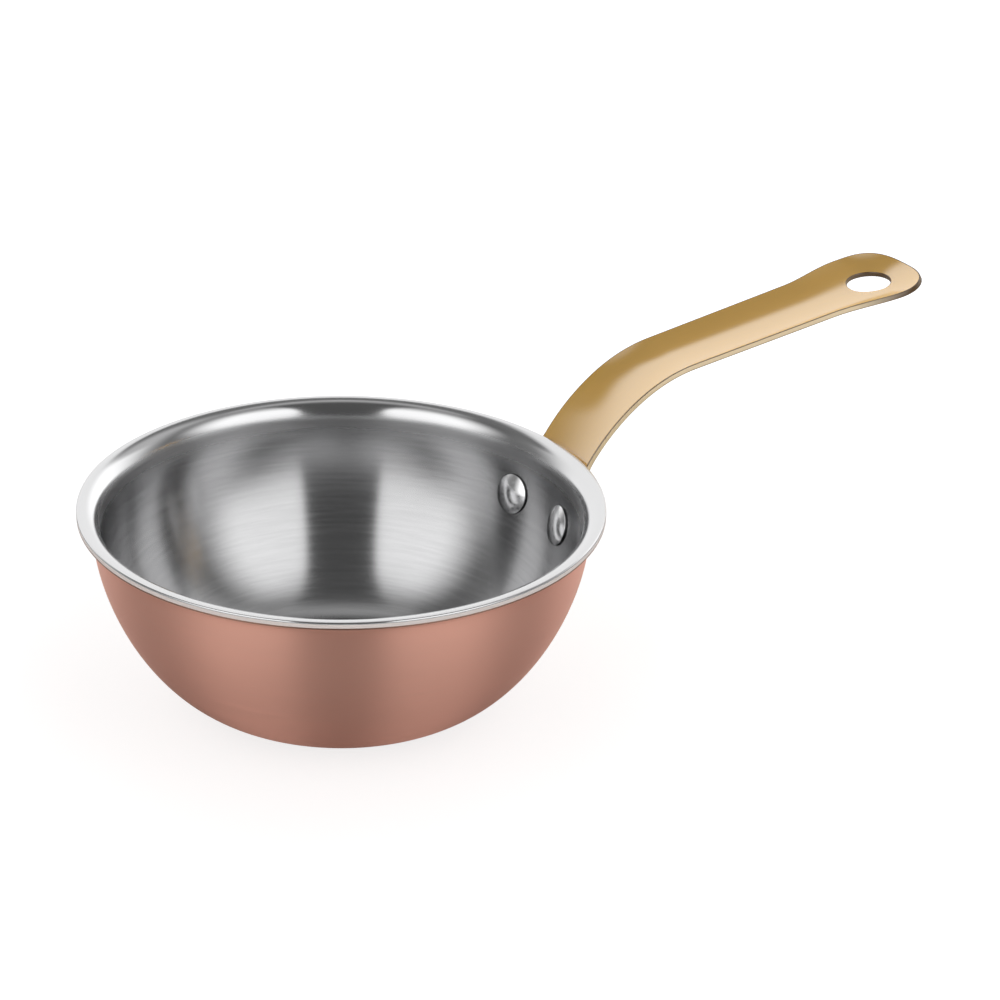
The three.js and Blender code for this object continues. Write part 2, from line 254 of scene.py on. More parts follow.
# Copper shell: the outer ply of the bowl's roll-bonded sheet. The blank is spun to a flat base, a round
# belly and a flared lip, and the copper is left with a fine finish that runs round it.
RIM_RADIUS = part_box("steel_liner")[1].x
BOWL_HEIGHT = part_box("steel_liner")[1].z
BASE_RADIUS = 29 * MM
BASE_PULL = 21 * MM
WALL_PULL = 20 * MM
LIP_FLARE_RADIUS = 3 * MM
LIP_FLAT = 1 * MM
COPPER_PLY = 0.5 * MM
BOWL_SHEET = 2 * MM
COPPER_CORNER = 0.25 * MM
BONDED_CORNER = 0.02 * MM
BASE_STEPS = 24
BELLY_STEPS = 90
FLARE_STEPS = 16
CORNER_STEPS = 6
TURN_STEPS = 288
MERGE_DISTANCE = 0.001 * MM
MIX_FIRST = 6
MIX_SECOND = 7
MIX_RESULT = 2
COPPER_COLOUR = (0.93, 0.505, 0.395)
# Painted shade: the copper's cut edge under the lip is painted this darker colour.
PAINTED_SHADE_COPPER_COLOUR = (0.40, 0.24, 0.18)
RUBBED_COPPER_COLOUR = (0.84, 0.52, 0.42)
COPPER_TONES = (0.96, 1.04)
COPPER_EVEN_ROUGHNESS = 0.46
COPPER_ROUGHNESS = (0.43, 0.49)
COPPER_ANISOTROPY = 0.92
COPPER_BUMP = 0.15
COPPER_LINES_PER_MM = 1.2
COPPER_DRIFT = 2.0
COPPER_PATCHES_PER_METRE = 28.0
COPPER_GRAIN_SHARE = 0.5
GRAIN_DEPTH = 0.02 * MM
GRAIN_DETAIL = 6.0
GRAIN_HARSHNESS = 0.7
GRAIN_SPREAD = (0.3, 0.7)
PATCH_DETAIL = 2.0
SCUFFS_PER_METRE = 240.0
SCUFF_DETAIL = 5.0
SCUFF_SPREAD = (0.35, 0.6)
SCUFF_LEAST = 0.2
RUBBED_HEIGHT = (0.05 * MM, 0.6 * MM)
RUBBED_ROUGHNESS = 0.12
CUT_EDGE_FROM_RIM = (0.4 * MM, 0.2 * MM)

wall_radius = RIM_RADIUS - LIP_FLAT - LIP_FLARE_RADIUS
lip_underside = BOWL_HEIGHT - BOWL_SHEET
wall_top = lip_underside - LIP_FLARE_RADIUS


def wall_curve(t):
    """The belly's cubic curve: place and unit normal, which points into the bowl, for t from 0 to 1."""
    t = t[:, None]
    corners = np.array([
        [BASE_RADIUS, 0],
        [BASE_RADIUS + BASE_PULL, 0],
        [wall_radius, wall_top - WALL_PULL],
        [wall_radius, wall_top],
    ])
    weights = np.concatenate([(1 - t) ** 3, 3 * t * (1 - t) ** 2, 3 * t**2 * (1 - t), t**3], axis=1)
    slopes = np.concatenate([(1 - t) ** 2, 2 * t * (1 - t), t**2], axis=1) @ np.diff(corners, axis=0)
    slopes /= np.linalg.norm(slopes, axis=1, keepdims=True)
    return weights @ corners, np.stack([-slopes[:, 1], slopes[:, 0]], axis=1)


def bowl_face(depth):
    """One face of the sheet at a depth in from the copper: flat base, belly moved in along its normals,
    a quarter circle of flare and the flat of the lip, as rows of radius and height."""
    base = np.stack([np.linspace(0, BASE_RADIUS, BASE_STEPS), np.full(BASE_STEPS, depth)], axis=1)
    place, normal = wall_curve(np.linspace(0, 1, BELLY_STEPS))
    turn = np.linspace(np.pi, np.pi / 2, FLARE_STEPS)
    radius = LIP_FLARE_RADIUS + depth
    flare = np.stack([
        wall_radius + LIP_FLARE_RADIUS + radius * np.cos(turn),
        wall_top + radius * np.sin(turn),
    ], axis=1)
    return np.concatenate([base, (place + depth * normal)[1:], flare[1:]])


def rounded_edge(depths, rounding):
    """The cut edge of a ply, from its first depth to its second, with each corner rounded on a radius."""
    rows = []
    for depth, radius, way in zip(depths, rounding, (1, -1)):
        turn = np.linspace(0, np.pi / 2, CORNER_STEPS)
        corner = np.stack([
            RIM_RADIUS - radius * (1 - np.sin(turn)),
            lip_underside + depth + way * radius * (1 - np.cos(turn)),
        ], axis=1)
        rows.append(corner[::way])
    return np.concatenate(rows)


def mesh_piece(name, grids):
    """Joins grids of points into one closed mesh: each grid is points, a UV map of the same rows and columns
    and whether it is a cut edge. Equal points are merged, so seams and poles close, and faces turn out."""
    points, corners, maps, cuts = [], [], [], []
    count = 0
    for grid, uv, cut in grids:
        rows, columns = grid.shape[:2]
        index = np.arange(rows * columns).reshape(rows, columns)
        quads = np.stack([index[:-1, :-1], index[1:, :-1], index[1:, 1:], index[:-1, 1:]], axis=-1)
        quads = quads.reshape(-1, 4)
        maps.append(uv.reshape(-1, 2)[quads.ravel()])
        corners.append(quads + count)
        cuts.append(np.full(quads.size, cut, dtype=np.float32))
        points.append(grid.reshape(-1, 3))
        count += rows * columns
    mesh = bpy.data.meshes.new(name)
    mesh.from_pydata(np.concatenate(points), [], np.concatenate(corners))
    flat_map = np.concatenate(maps).astype(np.float32).ravel()
    mesh.uv_layers.new(name="grain").data.foreach_set("uv", flat_map)
    mesh.attributes.new("cut", "FLOAT", "CORNER").data.foreach_set("value", np.concatenate(cuts))
    built = bmesh.new()
    built.from_mesh(mesh)
    bmesh.ops.remove_doubles(built, verts=built.verts, dist=MERGE_DISTANCE)
    bmesh.ops.recalc_face_normals(built, faces=built.faces)
    built.to_mesh(mesh)
    built.free()
    mesh.polygons.foreach_set("use_smooth", np.ones(len(mesh.polygons), dtype=bool))
    piece = bpy.data.objects.new(name, mesh)
    bpy.context.scene.collection.objects.link(piece)
    return piece


def run_length(rows):
    """The length along rows of points, from 0 at the first."""
    return np.concatenate([[0], np.cumsum(np.linalg.norm(np.diff(rows, axis=0), axis=1))])


def turned(profile):
    """Carries a profile of radius and height once round Z. The UV map holds the length along the profile,
    in millimetres, and the share of the turn."""
    turn = np.linspace(0, 2 * np.pi, TURN_STEPS + 1)
    turn[-1] = 0
    radius, height = profile[:, :1], profile[:, 1:]
    points = np.stack([
        radius * np.cos(turn),
        radius * np.sin(turn),
        np.broadcast_to(height, (len(profile), len(turn))),
    ], axis=-1)
    length = run_length(profile) / MM
    share = np.linspace(0, 1, TURN_STEPS + 1)
    uv = np.stack(np.broadcast_arrays(length[:, None], share[None, :]), axis=-1)
    return points, uv, 0


def ply(name, outer_depth, inner_depth, rounding):
    """One ply of the bowl: its outer face, its cut edge and its inner face, turned once round."""
    edge = rounded_edge((outer_depth, inner_depth), rounding)
    profile = np.concatenate([bowl_face(outer_depth), edge, bowl_face(inner_depth)[::-1]])
    return mesh_piece(name, [turned(profile)])


def metal(name, colour, roughness, anisotropic):
    """A metal shader with even values on its own sockets. Returns the material, its tree and its shader."""
    material = bpy.data.materials.new(name)
    material.use_nodes = True
    tree = material.node_tree
    shader = tree.nodes["Principled BSDF"]
    shader.inputs["Base Color"].default_value = (*colour, 1)
    shader.inputs["Metallic"].default_value = 1
    shader.inputs["Roughness"].default_value = roughness
    shader.inputs["Anisotropic"].default_value = anisotropic
    tangent = new_node(tree, "ShaderNodeTangent", direction_type="UV_MAP", uv_map="grain")
    tree.links.new(tangent.outputs[0], shader.inputs["Tangent"])
    return material, tree, shader


def noise(tree, vector, scale, detail=3.0, roughness=0.55):
    """A cloud noise from 0 to 1 at a place."""
    node = new_node(tree, "ShaderNodeTexNoise")
    tree.links.new(vector, node.inputs["Vector"])
    node.inputs["Scale"].default_value = scale
    node.inputs["Detail"].default_value = detail
    node.inputs["Roughness"].default_value = roughness
    return node.outputs[0]


def grain_map(tree):
    """The piece's own UV map."""
    return new_node(tree, "ShaderNodeUVMap", uv_map="grain").outputs[0]


def one_of(tree, vector, axis):
    """One of a vector's three values."""
    node = new_node(tree, "ShaderNodeSeparateXYZ")
    tree.links.new(vector, node.inputs[0])
    return node.outputs[axis]


def round_the_bowl(tree, lines_per_mm, drift):
    """A place for noise that stretches it round the bowl: the bearing changes it slowly and the length
    along the profile changes it fast."""
    bearing = vector_maths(tree, "NORMALIZE", vector_maths(tree, "MULTIPLY", object_place(tree), (1, 1, 0)))
    along = new_node(tree, "ShaderNodeCombineXYZ")
    length = one_of(tree, grain_map(tree), "X")
    tree.links.new(maths(tree, "MULTIPLY", length, lines_per_mm), along.inputs["Z"])
    slow = vector_maths(tree, "MULTIPLY", bearing, (drift, drift, 0))
    return vector_maths(tree, "ADD", slow, along.outputs[0])


def turned_grain(tree, lines_per_mm, drift):
    """The fine lines of uneven depth that turning or brushing leaves round the bowl."""
    return noise(tree, round_the_bowl(tree, lines_per_mm, drift), 1.0, GRAIN_DETAIL, GRAIN_HARSHNESS)


def blended(tree, first, second, first_share):
    """Two values added up, the first by its share and the second by the rest."""
    return maths(tree, "ADD", maths(tree, "MULTIPLY", first, first_share),
                 maths(tree, "MULTIPLY", second, 1 - first_share))


def colour_mix(tree, factor, first, second):
    """Goes from a first colour to a second by a factor. Each is plain or comes from another node."""
    node = new_node(tree, "ShaderNodeMix", data_type="RGBA")
    tree.links.new(factor, node.inputs["Factor"])
    for socket, colour in ((MIX_FIRST, first), (MIX_SECOND, second)):
        plain = isinstance(colour, tuple)
        feed(tree, node.inputs[socket], (*colour, 1) if plain else colour)
    return node.outputs[MIX_RESULT]


def toned(tree, factor, colour, tones):
    """A colour made darker and lighter, from the first of two tones to the second, by a factor."""
    dark, light = (tuple(tone * c for c in colour) for tone in tones)
    return colour_mix(tree, factor, dark, light)


def raise_grain(tree, shader, grain, strength):
    """Lets a grain stand out of the surface."""
    bump = new_node(tree, "ShaderNodeBump")
    bump.inputs["Strength"].default_value = strength
    bump.inputs["Distance"].default_value = GRAIN_DEPTH
    tree.links.new(grain, bump.inputs["Height"])
    tree.links.new(bump.outputs[0], shader.inputs["Normal"])


def copper_finish():
    """Warm copper with a fine turned grain, slightly uneven in tone and gloss. Its cut edge is painted
    darker, a painted shade line under the lip, and it is rubbed paler and duller on the base, where it slides
    on the hob."""
    material, tree, shader = metal("turned_copper", COPPER_COLOUR, COPPER_EVEN_ROUGHNESS, COPPER_ANISOTROPY)
    spot = object_place(tree)
    grain = turned_grain(tree, COPPER_LINES_PER_MM, COPPER_DRIFT)
    patches = noise(tree, spot, COPPER_PATCHES_PER_METRE, PATCH_DETAIL)
    colour = toned(tree, blended(tree, grain, patches, COPPER_GRAIN_SHARE), COPPER_COLOUR, COPPER_TONES)
    scuffs = noise(tree, spot, SCUFFS_PER_METRE, SCUFF_DETAIL, GRAIN_HARSHNESS)
    rubbed = maths(tree, "MULTIPLY", ramp(tree, one_of(tree, spot, "Z"), *RUBBED_HEIGHT, 1.0, 0.0),
                   ramp(tree, scuffs, *SCUFF_SPREAD, SCUFF_LEAST, 1.0))
    colour = colour_mix(tree, rubbed, colour, RUBBED_COPPER_COLOUR)
    # Painted shade: the copper's cut edge is painted darker, as the shadow line under the lip.
    from_axis = vector_maths(tree, "LENGTH", vector_maths(tree, "MULTIPLY", spot, (1, 1, 0)))
    cut_edge = [RIM_RADIUS - inset for inset in CUT_EDGE_FROM_RIM]
    colour = colour_mix(tree, ramp(tree, from_axis, *cut_edge, 0.0, 1.0), colour, PAINTED_SHADE_COPPER_COLOUR)
    tree.links.new(colour, shader.inputs["Base Color"])
    gloss = maths(tree, "ADD", ramp(tree, grain, *GRAIN_SPREAD, *COPPER_ROUGHNESS),
                  maths(tree, "MULTIPLY", rubbed, RUBBED_ROUGHNESS))
    tree.links.new(gloss, shader.inputs["Roughness"])
    raise_grain(tree, shader, grain, COPPER_BUMP)
    return material


def finished(piece, material, node):
    """Gives a piece its material and puts it in its node's place on the one rigid body."""
    piece.data.materials.append(material)
    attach(piece, "root")
    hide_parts(node)


copper = ply("spun_copper", 0, COPPER_PLY, (COPPER_CORNER, BONDED_CORNER))
finished(copper, copper_finish(), "copper_shell")

# Aluminium core: the thick middle ply, which spreads the heat. It shows only as a pale stripe in the cut
# edge of the lip, between the copper and the steel.
ALUMINIUM_PLY = 1 * MM
ALUMINIUM_COLOUR = (0.96, 0.91, 0.885)
ALUMINIUM_EVEN_ROUGHNESS = 0.9
ALUMINIUM_ROUGHNESS = (0.84, 0.96)
ALUMINIUM_LINES_PER_MM = 8.0
ALUMINIUM_DRIFT = 2.0


def aluminium_finish():
    """Pale aluminium, trimmed on a lathe, with fine lines round the edge."""
    material, tree, shader = metal("trimmed_aluminium", ALUMINIUM_COLOUR, ALUMINIUM_EVEN_ROUGHNESS, 0.0)
    lines = noise(tree, round_the_bowl(tree, ALUMINIUM_LINES_PER_MM, ALUMINIUM_DRIFT), 1.0)
    tree.links.new(ramp(tree, lines, *GRAIN_SPREAD, *ALUMINIUM_ROUGHNESS), shader.inputs["Roughness"])
    return material


core = ply("bonded_aluminium", COPPER_PLY, COPPER_PLY + ALUMINIUM_PLY, (BONDED_CORNER, BONDED_CORNER))
finished(core, aluminium_finish(), "aluminium_core")

# Steel liner: the inner ply of stainless steel. The inside of the bowl is brushed round and round, and the
# flared lip is polished bright.
LIP_CORNER = 0.35 * MM
STEEL_COLOUR = (0.52, 0.52, 0.525)
LIP_COLOUR = (0.67, 0.67, 0.675)
STEEL_TONES = (0.945, 1.055)
STEEL_EVEN_ROUGHNESS = 0.195
STEEL_ROUGHNESS = (0.18, 0.21)
STEEL_ANISOTROPY = 0.72
STEEL_BUMP = 0.12
STEEL_LINES_PER_MM = 0.9
STEEL_DRIFT = 2.5
BRUSH_FADE_BELOW_WALL_TOP = 6 * MM
BRUSH_FADE_ABOVE_WALL_TOP = 1 * MM
BRUSH_FADE_ROUGHNESS = 0.12
LIP_SMOOTHNESS = 0.05


def steel_finish():
    """Stainless steel brushed round the bowl, in fine lines of uneven depth, duller where the brushing ends
    under the lip, and smoother on the lip."""
    material, tree, shader = metal("brushed_steel", STEEL_COLOUR, STEEL_EVEN_ROUGHNESS, STEEL_ANISOTROPY)
    grain = turned_grain(tree, STEEL_LINES_PER_MM, STEEL_DRIFT)
    height = one_of(tree, object_place(tree), "Z")
    on_lip = ramp(tree, height, wall_top, lip_underside, 0.0, 1.0)
    brushed = toned(tree, ramp(tree, grain, *GRAIN_SPREAD, 0.0, 1.0), STEEL_COLOUR, STEEL_TONES)
    tree.links.new(colour_mix(tree, on_lip, brushed, LIP_COLOUR), shader.inputs["Base Color"])
    under_lip = maths(tree, "MULTIPLY",
                      ramp(tree, height, wall_top - BRUSH_FADE_BELOW_WALL_TOP, wall_top, 0.0, 1.0),
                      ramp(tree, height, wall_top + BRUSH_FADE_ABOVE_WALL_TOP, lip_underside, 1.0, 0.0))
    gloss = maths(tree, "ADD", ramp(tree, grain, *GRAIN_SPREAD, *STEEL_ROUGHNESS),
                  maths(tree, "MULTIPLY", under_lip, BRUSH_FADE_ROUGHNESS))
    gloss = maths(tree, "SUBTRACT", gloss, maths(tree, "MULTIPLY", on_lip, LIP_SMOOTHNESS))
    tree.links.new(gloss, shader.inputs["Roughness"])
    raise_grain(tree, shader, grain, STEEL_BUMP)
    return material


liner = ply("brushed_liner", COPPER_PLY + ALUMINIUM_PLY, BOWL_SHEET, (BONDED_CORNER, LIP_CORNER))
finished(liner, steel_finish(), "steel_liner")

# Strap handle: one blank of brass sheet. Its flange wraps round the bowl, kicks out past the lip, rises and
# bends over to a grip pressed hollow on top. It ends in a dished eye with a punched hang hole.
HANDLE_SHEET = 1.5 * MM
SEAT_GAP = 0.3 * MM
LIP_CLEARANCE = 0.5 * MM
KICK_RADIUS = 12 * MM
RISE_ANGLE = math.radians(55.2)
BEND_RADIUS = 47.4 * MM
GRIP_ANGLE = math.radians(7.5)
GRIP_LENGTH = 67.5 * MM
ROOT_WIDTH = 22.7 * MM
GRIP_WIDTH = 24.6 * MM
TROUGH_RADIUS = 39 * MM
EYE_HALF_WIDTH = 14.95 * MM
EYE_SWELL = 21 * MM
EYE_TO_TIP = 13.1 * MM
EYE_BLUNTNESS = 2.6
EYE_DIP_RADIUS = 580 * MM
EYE_UPTURN_RADIUS = 31.5 * MM
EYE_DISH_RADIUS = 50 * MM
HANG_HOLE_RADIUS = 6.15 * MM
RIVET_SPACING = 24 * MM
RIVET_SETBACK = 6.4 * MM
FLANGE_BELOW_RIVETS = 8.5 * MM
FLANGE_HALF_WIDTH = 18.5 * MM
FLANGE_ROUNDING = 7 * MM
EDGE_ROUNDING = 0.4 * MM
HOLE_ROUNDING = 0.3 * MM
SEAT_STEPS = 2000
SPINE_STEPS = 6000
SLOPE_STEP = 0.1 * MM
FLANGE_STEPS = 25
STRAP_STEPS = 121
SWELL_STEPS = 25
EYE_STEPS = 37
EDGE_STEPS = 7
ACROSS_STEPS = 41
RING_STEPS = 19
BRASS_COLOUR = (0.9, 0.52, 0.025)
CUT_BRASS_COLOUR = (0.9, 0.74, 0.48)
# The dark colour painted on the cut edge: painted shade along its corners, and darker round the eye.
DARK_EDGE_COLOUR = (0.17, 0.095, 0.03)
BRASS_TONES = (0.97, 1.03)
BRASS_TONE_SPREAD = (0.35, 0.65)
BRASS_EVEN_ROUGHNESS = 0.6
BRASS_ROUGHNESS = (0.57, 0.63)
BRASS_ANISOTROPY = 0.3
BRASS_BUMP = 0.08
BRASS_LINES_PER_MM = (0.15, 6.0, 1.0)
BRASS_GRAIN_DETAIL = 4.0
BRASS_GRAIN_SHARE = 0.6
BRASS_PATCHES_PER_METRE = 30.0
CUT_BRASS_ROUGHNESS = 0.12
LACQUER_IOR = 3.5
LACQUER_ROUGHNESS = 0.12
LACQUER_ON_CUT = 0.25
# Painted shade along the cut edge's upper and lower corners.
UPPER_CORNER_SHADE_EDGE = (0.25, 0.55)
UPPER_CORNER_SHADE = 0.85
LOWER_CORNER_SHADE_EDGE = (1.3, 1.65)
LOWER_CORNER_SHADE = 0.6
# Where the cut edge turns darker all over, round the eye.
EYE_DARKENING_EDGE = (155 * MM, 175 * MM)

seat_face, seat_normal = wall_curve(np.linspace(0, 1, SEAT_STEPS))
seat_face = seat_face - SEAT_GAP * seat_normal
seat_slope = np.arctan2(-seat_normal[:, 0], seat_normal[:, 1])
seat_length = run_length(seat_face)


def seated_length():
    """How far up the wall the handle lies on it: where a kick to the riser's slope, started there, leaves
    the clearance to the lip's lower corner. The gap shrinks steadily up the wall, so it is looked up."""
    past_kick_x = seat_face[:, 0] + KICK_RADIUS * (np.sin(seat_slope) - math.sin(RISE_ANGLE))
    past_kick_z = seat_face[:, 1] + KICK_RADIUS * (math.cos(RISE_ANGLE) - np.cos(seat_slope))
    gap = (past_kick_x - RIM_RADIUS) * math.sin(RISE_ANGLE)
    gap -= (past_kick_z - lip_underside) * math.cos(RISE_ANGLE)
    steep = seat_slope > RISE_ANGLE
    return np.interp(-LIP_CLEARANCE, -gap[steep], seat_length[steep])


rivet_seat = seated_length() - RIVET_SETBACK
flange_bottom = rivet_seat - FLANGE_BELOW_RIVETS
kick_at = FLANGE_BELOW_RIVETS + RIVET_SETBACK
kick_slope = np.interp(seated_length(), seat_length, seat_slope)
riser_at = kick_at + KICK_RADIUS * (kick_slope - RISE_ANGLE)
riser_height = np.interp(seated_length(), seat_length, seat_face[:, 1])
riser_height += KICK_RADIUS * (math.cos(RISE_ANGLE) - math.cos(kick_slope))
bend_at = riser_at + (BOWL_HEIGHT - riser_height) / math.sin(RISE_ANGLE)
grip_at = bend_at + BEND_RADIUS * (RISE_ANGLE - GRIP_ANGLE)
eye_at = grip_at + GRIP_LENGTH
swell_at = eye_at - EYE_SWELL
tip_at = eye_at + EYE_TO_TIP
eye_slope = GRIP_ANGLE - EYE_SWELL / EYE_DIP_RADIUS
tip_slope = eye_slope + EYE_TO_TIP / EYE_UPTURN_RADIUS

# The handle's middle line: its slope follows the wall, then falls evenly through the kick and the bend, dips
# towards the eye and turns up at the tip. Its place is the sum of that slope's cosine and sine.
spine_length = np.linspace(0, tip_at, SPINE_STEPS)
spine_slope = np.where(
    spine_length < kick_at,
    np.interp(flange_bottom + spine_length, seat_length, seat_slope),
    np.interp(spine_length, [kick_at, riser_at, bend_at, grip_at, swell_at, eye_at, tip_at],
              [kick_slope, RISE_ANGLE, RISE_ANGLE, GRIP_ANGLE, GRIP_ANGLE, eye_slope, tip_slope]),
)


def summed(values, start):
    """The running sum of a value along the spine, from a start."""
    middles = (values[1:] + values[:-1]) / 2
    return start + np.concatenate([[0], np.cumsum(middles * np.diff(spine_length))])


spine_x = summed(np.cos(spine_slope), np.interp(flange_bottom, seat_length, seat_face[:, 0]))
spine_z = summed(np.sin(spine_slope), np.interp(flange_bottom, seat_length, seat_face[:, 1]))


def soft_step(value, low, high):
    """0 up to low and 1 from high on, with a smooth rise between."""
    t = np.clip((value - low) / (high - low), 0, 1)
    return t * t * (3 - 2 * t)


def blank_face(s, v):
    """A point of the handle's upper face, s along the blank and v across it. Up to the bend the section is a
    circle round the bowl's axis. Along the bend it turns into a trough square to the spine, shallower at
    the eye."""
    x = np.interp(s, spine_length, spine_x)
    z = np.interp(s, spine_length, spine_z)
    slope = np.interp(s, spine_length, spine_slope)
    wrap = 1 - soft_step(s, bend_at, grip_at)
    eye = soft_step(s, swell_at, eye_at)
    trough = (1 - eye) / TROUGH_RADIUS + eye / EYE_DISH_RADIUS
    curvature = (1 - wrap) * trough + wrap / x
    hollow_x = -(1 - wrap) * np.sin(slope) - wrap
    hollow_z = (1 - wrap) * np.cos(slope)
    size = np.hypot(hollow_x, hollow_z)
    rise = (1 - np.cos(v * curvature)) / curvature
    return np.stack([
        x + hollow_x / size * rise,
        np.sin(v * curvature) / curvature,
        z + hollow_z / size * rise,
    ], axis=-1)


def pressed(s, v, depth):
    """A point of the pressed blank, a depth below its upper face along the face's normal."""
    along = blank_face(s + SLOPE_STEP, v) - blank_face(s - SLOPE_STEP, v)
    across = blank_face(s, v + SLOPE_STEP) - blank_face(s, v - SLOPE_STEP)
    normal = np.cross(along, across)
    normal /= np.linalg.norm(normal, axis=-1, keepdims=True)
    return blank_face(s, v) - np.asarray(depth)[..., None] * normal


def half_width(s):
    """Half the blank's width: an oval lower end, shoulders that narrow to the strap, and a blunt eye."""
    strap = (ROOT_WIDTH + (GRIP_WIDTH - ROOT_WIDTH) * np.clip((s - grip_at) / GRIP_LENGTH, 0, 1)) / 2
    body = FLANGE_HALF_WIDTH + (strap - FLANGE_HALF_WIDTH) * soft_step(s, FLANGE_BELOW_RIVETS, bend_at)
    body += (EYE_HALF_WIDTH - body) * soft_step(s, swell_at, eye_at)
    flange_end = np.sqrt(1 - np.clip(1 - s / FLANGE_ROUNDING, 0, 1) ** 2)
    eye_end = (1 - np.clip((s - eye_at) / EYE_TO_TIP, 0, 1) ** EYE_BLUNTNESS) ** (1 / EYE_BLUNTNESS)
    return body * flange_end * eye_end


def blank_outline():
    """One side of the blank's outline, from the flange's lower end to the eye's tip, with its outward normal,
    both as rows of s and v, and the row at which the eye starts."""
    flange = FLANGE_ROUNDING * (1 - np.cos(np.linspace(0, np.pi / 2, FLANGE_STEPS)))
    strap = np.linspace(FLANGE_ROUNDING, swell_at, STRAP_STEPS)[1:]
    swell = np.linspace(swell_at, eye_at, SWELL_STEPS)[1:]
    eye = eye_at + EYE_TO_TIP * np.sin(np.linspace(0, np.pi / 2, EYE_STEPS)[1:])
    s = np.concatenate([flange, strap, swell, eye])
    side = np.stack([s, half_width(s)], axis=1)
    mirrored = side * (1, -1)
    closed = np.concatenate([mirrored[1:2], side, mirrored[-2:-1]])
    along = closed[2:] - closed[:-2]
    along /= np.linalg.norm(along, axis=1, keepdims=True)
    return side, np.stack([-along[:, 1], along[:, 0]], axis=1), len(flange) + len(strap) - 1


def edge_profile(rounding):
    """The edge of the sheet, from its upper face to its lower: how far in from the outline, how deep, and the
    length along it."""
    quarter = np.linspace(0, np.pi / 2, EDGE_STEPS)
    corner_inset = rounding * (1 - np.sin(quarter))
    corner_depth = rounding * (1 - np.cos(quarter))
    inset = np.concatenate([corner_inset, corner_inset[::-1]])
    depth = np.concatenate([corner_depth, HANDLE_SHEET - corner_depth[::-1]])
    return inset, depth, run_length(np.stack([inset, depth], axis=1))


def blank_grids():
    """The pressed blank as grids: both faces of the strap, both faces of the eye as rings round its hole, the
    outer edge and the hole's edge. U runs along the blank on the faces, and across the sheet on the edges,
    in millimetres."""
    side, normal, eye_row = blank_outline()
    inner = side - EDGE_ROUNDING * normal
    inner[[0, -1], 1] = 0
    columns = np.sin(np.linspace(-np.pi / 2, np.pi / 2, ACROSS_STEPS))
    strap_s = np.broadcast_to(inner[:eye_row + 1, :1], (eye_row + 1, len(columns)))
    strap_v = inner[:eye_row + 1, 1:] * columns
    tip = inner[eye_row + 1:]
    mirrored = tip[::-1][1:] * (1, -1)
    loop_s = np.concatenate([strap_s[-1], tip[:, 0], mirrored[:, 0], strap_s[-1][:1]])
    loop_v = np.concatenate([strap_v[-1], tip[:, 1], mirrored[:, 1], strap_v[-1][:1]])
    bearing = np.arctan2(loop_v, loop_s - eye_at)
    outward = soft_step(np.linspace(0, 1, RING_STEPS), 0, 1)[:, None]
    punched = HANG_HOLE_RADIUS + HOLE_ROUNDING
    ring_s = (eye_at + punched * np.cos(bearing)) * (1 - outward) + loop_s * outward
    ring_v = punched * np.sin(bearing) * (1 - outward) + loop_v * outward
    grids = []
    for depth in (0, HANDLE_SHEET):
        for s, v in ((strap_s, strap_v), (ring_s, ring_v)):
            grids.append((pressed(s, v, depth), np.stack([s, v], axis=-1) / MM, 0))
    inset, depth, across = edge_profile(EDGE_ROUNDING)
    around = np.concatenate([side, side[::-1][1:] * (1, -1)])
    facing = np.concatenate([normal, normal[::-1][1:] * (1, -1)])
    edge = around[:, None, :] - inset[:, None] * facing[:, None, :]
    edge[[0, -1], :, 1] = 0
    edge_uv = np.stack(np.broadcast_arrays(across, around[:, :1]), axis=-1) / MM
    edge_depth = np.broadcast_to(depth, edge.shape[:2])
    grids.append((pressed(edge[..., 0], edge[..., 1], edge_depth), edge_uv, 1))
    inset, depth, across = edge_profile(HOLE_ROUNDING)
    radius = HANG_HOLE_RADIUS + inset
    hole_s = eye_at + radius * np.cos(bearing)[:, None]
    hole_v = radius * np.sin(bearing)[:, None]
    hole_uv = np.stack(np.broadcast_arrays(across, HANG_HOLE_RADIUS * bearing[:, None]), axis=-1) / MM
    grids.append((pressed(hole_s, hole_v, np.broadcast_to(depth, hole_s.shape)), hole_uv, 1))
    return grids


def edge_darkening(tree, across_sheet):
    """How dark a cut edge is painted, from 0 to 1: painted shade along both its corners, and darker all over
    round the eye.
    """
    # Painted shade along the edge's upper and lower corners.
    upper = ramp(tree, across_sheet, *UPPER_CORNER_SHADE_EDGE, UPPER_CORNER_SHADE, 0.0)
    lower = ramp(tree, across_sheet, *LOWER_CORNER_SHADE_EDGE, 0.0, LOWER_CORNER_SHADE)
    # Darker all over round the eye.
    round_eye = ramp(tree, one_of(tree, object_place(tree), "X"), *EYE_DARKENING_EDGE, 0.0, 1.0)
    return maths(tree, "MAXIMUM", maths(tree, "ADD", upper, lower), round_eye)


